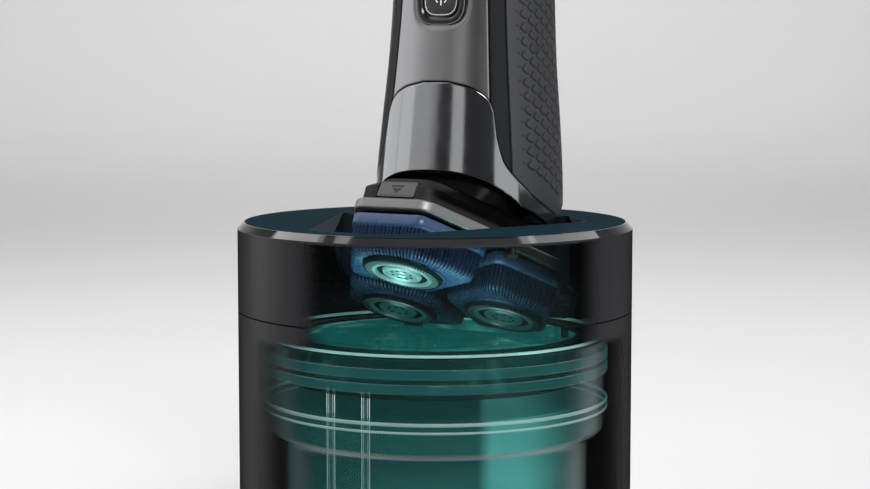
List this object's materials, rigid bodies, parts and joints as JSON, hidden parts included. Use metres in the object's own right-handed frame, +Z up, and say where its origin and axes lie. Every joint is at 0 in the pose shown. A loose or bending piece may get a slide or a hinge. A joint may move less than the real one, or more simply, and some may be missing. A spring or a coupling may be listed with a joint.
{
  "type": "shaver cleaning station",
  "caption": "Round shaver cleaning station: smoked see-through pod with lift-off cover, teal fluid cartridge and a three-head rotary shaver docked upside down.",
  "frame": {"origin": "centre of the pod's footprint, on the surface it stands on", "axes": "+Z up; -Y is the front, where the release button of the shaving unit and the power button face"},
  "size_m": [0.11, 0.11, 0.247],
  "materials": {
    "pod_shell": "satin",
    "deck": "satin",
    "dark_plastic": "matt",
    "clear_plastic": "polished",
    "seal_rubber": "matt",
    "screw_steel": "satin",
    "cartridge_teal": "polished",
    "tray_plastic": "satin",
    "filter_mesh": "satin",
    "wash_fluid": "polished",
    "silver": "satin",
    "skirt_blue": "satin",
    "guard_steel": "polished",
    "cutter_steel": "satin",
    "gear_plastic": "matt",
    "black_gloss": "polished",
    "neck_gunmetal": "polished",
    "front_grey": "satin",
    "base_grey": "satin",
    "grip_rubber": "matt",
    "button_dark": "satin",
    "motor_steel": "satin",
    "battery_wrap": "satin",
    "board_green": "satin"
  },
  "bodies": {
    "base": {"lower_housing": "pod_shell", "base_plate": "dark_plastic", "base_screws": "screw_steel", "rubber_feet": "seal_rubber", "cartridge_cradle": "dark_plastic", "latch_keeper": "dark_plastic"},
    "top_cover": {"upper_housing": "pod_shell", "deck_panel": "deck", "dock_funnel": "deck", "dock_rests": "seal_rubber", "splash_guard": "clear_plastic", "cover_seal": "seal_rubber", "cover_screws": "screw_steel"},
    "cover_release": {"cover_release_button": "button_dark"},
    "cartridge": {"cartridge_cup": "cartridge_teal", "drain_tray": "tray_plastic", "filter_screen": "filter_mesh", "cleaning_fluid": "wash_fluid", "wash_pool": "wash_fluid", "feed_tube": "clear_plastic", "return_tube": "clear_plastic"},
    "shaver": {"bezel": "silver", "holder_plate": "dark_plastic", "unit_base": "base_grey", "neck_core": "black_gloss", "handle_core": "dark_plastic", "motor": "motor_steel", "power_ring": "black_gloss", "end_cap": "dark_plastic", "charging_socket": "black_gloss", "front_panel": "front_grey", "side_strips": "black_gloss", "rear_grip": "grip_rubber", "neck_panel": "neck_gunmetal", "battery": "battery_wrap", "circuit_board": "board_green"},
    "power_switch": {"power_button": "button_dark"},
    "head_release": {"head_release_button": "button_dark"},
    "pinion": {"drive_pinion": "gear_plastic"},
    "head_front": {"head_skirt_front": "skirt_blue", "head_guard_front": "guard_steel", "head_carrier_front": "dark_plastic"},
    "gear_front": {"drive_gear_front": "gear_plastic"},
    "cutter_body_front": {"cutter_front": "cutter_steel"},
    "head_left": {"head_skirt_left": "skirt_blue", "head_guard_left": "guard_steel", "head_carrier_left": "dark_plastic"},
    "gear_left": {"drive_gear_left": "gear_plastic"},
    "cutter_body_left": {"cutter_left": "cutter_steel"},
    "head_right": {"head_skirt_right": "skirt_blue", "head_guard_right": "guard_steel", "head_carrier_right": "dark_plastic"},
    "gear_right": {"drive_gear_right": "gear_plastic"},
    "cutter_body_right": {"cutter_right": "cutter_steel"}
  },
  "joints": [
    {"name": "cover_lift", "type": "slide", "parent": "base", "child": "top_cover", "axis": [0, 0, 1], "range_m": [0, 0.16]},
    {"name": "cartridge_lift", "type": "slide", "parent": "base", "child": "cartridge", "axis": [0, 0, 1], "range_m": [0, 0.08]},
    {"name": "cover_release_press", "type": "slide", "parent": "top_cover", "child": "cover_release", "axis": [0, -1, 0], "range_m": [0, 0.0018], "stiffness_N_per_m": 600},
    {"name": "shaver_lift", "type": "slide", "parent": "top_cover", "child": "shaver", "axis": [0, 0, 1], "range_m": [0, 0.07]},
    {"name": "power_press", "type": "slide", "parent": "shaver", "child": "power_switch", "axis": [0, 0.9969, -0.0785], "range_m": [0, 0.0008], "stiffness_N_per_m": 800},
    {"name": "head_release_press", "type": "slide", "parent": "shaver", "child": "head_release", "axis": [0, 0.887, -0.4617], "range_m": [0, 0.0009], "stiffness_N_per_m": 800},
    {"name": "pinion_spin", "type": "hinge", "parent": "shaver", "child": "pinion", "pos_m": [0, 0.00819, 0.10176], "axis": [0, -0.4617, -0.887], "continuous": true},
    {"name": "head_flex_front", "type": "hinge", "parent": "shaver", "child": "head_front", "pos_m": [0, -0.01119, 0.10763], "axis": [1, 0, 0], "range_deg": [-3.5, 3.5], "stiffness_Nm_per_rad": 0.5},
    {"name": "gear_spin_front", "type": "hinge", "parent": "shaver", "child": "gear_front", "pos_m": [0, -0.00946, 0.11095], "axis": [0, -0.4617, -0.887], "continuous": true},
    {"name": "cutter_spin_front", "type": "hinge", "parent": "head_front", "child": "cutter_body_front", "pos_m": [0, -0.0166, 0.09725], "axis": [0, -0.4617, -0.887], "continuous": true},
    {"name": "head_flex_left", "type": "hinge", "parent": "shaver", "child": "head_left", "pos_m": [-0.01723, 0.01528, 0.09384], "axis": [-0.5, -0.7682, 0.3999], "range_deg": [-3.5, 3.5], "stiffness_Nm_per_rad": 0.5},
    {"name": "gear_spin_left", "type": "hinge", "parent": "shaver", "child": "gear_left", "pos_m": [-0.01723, 0.01701, 0.09717], "axis": [0, -0.4617, -0.887], "continuous": true},
    {"name": "cutter_spin_left", "type": "hinge", "parent": "head_left", "child": "cutter_body_left", "pos_m": [-0.01723, 0.00988, 0.08347], "axis": [0, -0.4617, -0.887], "continuous": true},
    {"name": "head_flex_right", "type": "hinge", "parent": "shaver", "child": "head_right", "pos_m": [0.01723, 0.01528, 0.09384], "axis": [-0.5, 0.7682, -0.3999], "range_deg": [-3.5, 3.5], "stiffness_Nm_per_rad": 0.5},
    {"name": "gear_spin_right", "type": "hinge", "parent": "shaver", "child": "gear_right", "pos_m": [0.01723, 0.01701, 0.09717], "axis": [0, -0.4617, -0.887], "continuous": true},
    {"name": "cutter_spin_right", "type": "hinge", "parent": "head_right", "child": "cutter_body_right", "pos_m": [0.01723, 0.00988, 0.08347], "axis": [0, -0.4617, -0.887], "continuous": true}
  ],
  "couplings": [
    {"joint": "cartridge_lift", "follows": "cover_lift", "ratio": 0.5},
    {"joint": "gear_spin_front", "follows": "pinion_spin", "ratio": -1.1429},
    {"joint": "cutter_spin_front", "follows": "pinion_spin", "ratio": -1.1429},
    {"joint": "gear_spin_left", "follows": "pinion_spin", "ratio": -1.1429},
    {"joint": "cutter_spin_left", "follows": "pinion_spin", "ratio": -1.1429},
    {"joint": "gear_spin_right", "follows": "pinion_spin", "ratio": -1.1429},
    {"joint": "cutter_spin_right", "follows": "pinion_spin", "ratio": -1.1429}
  ]
}
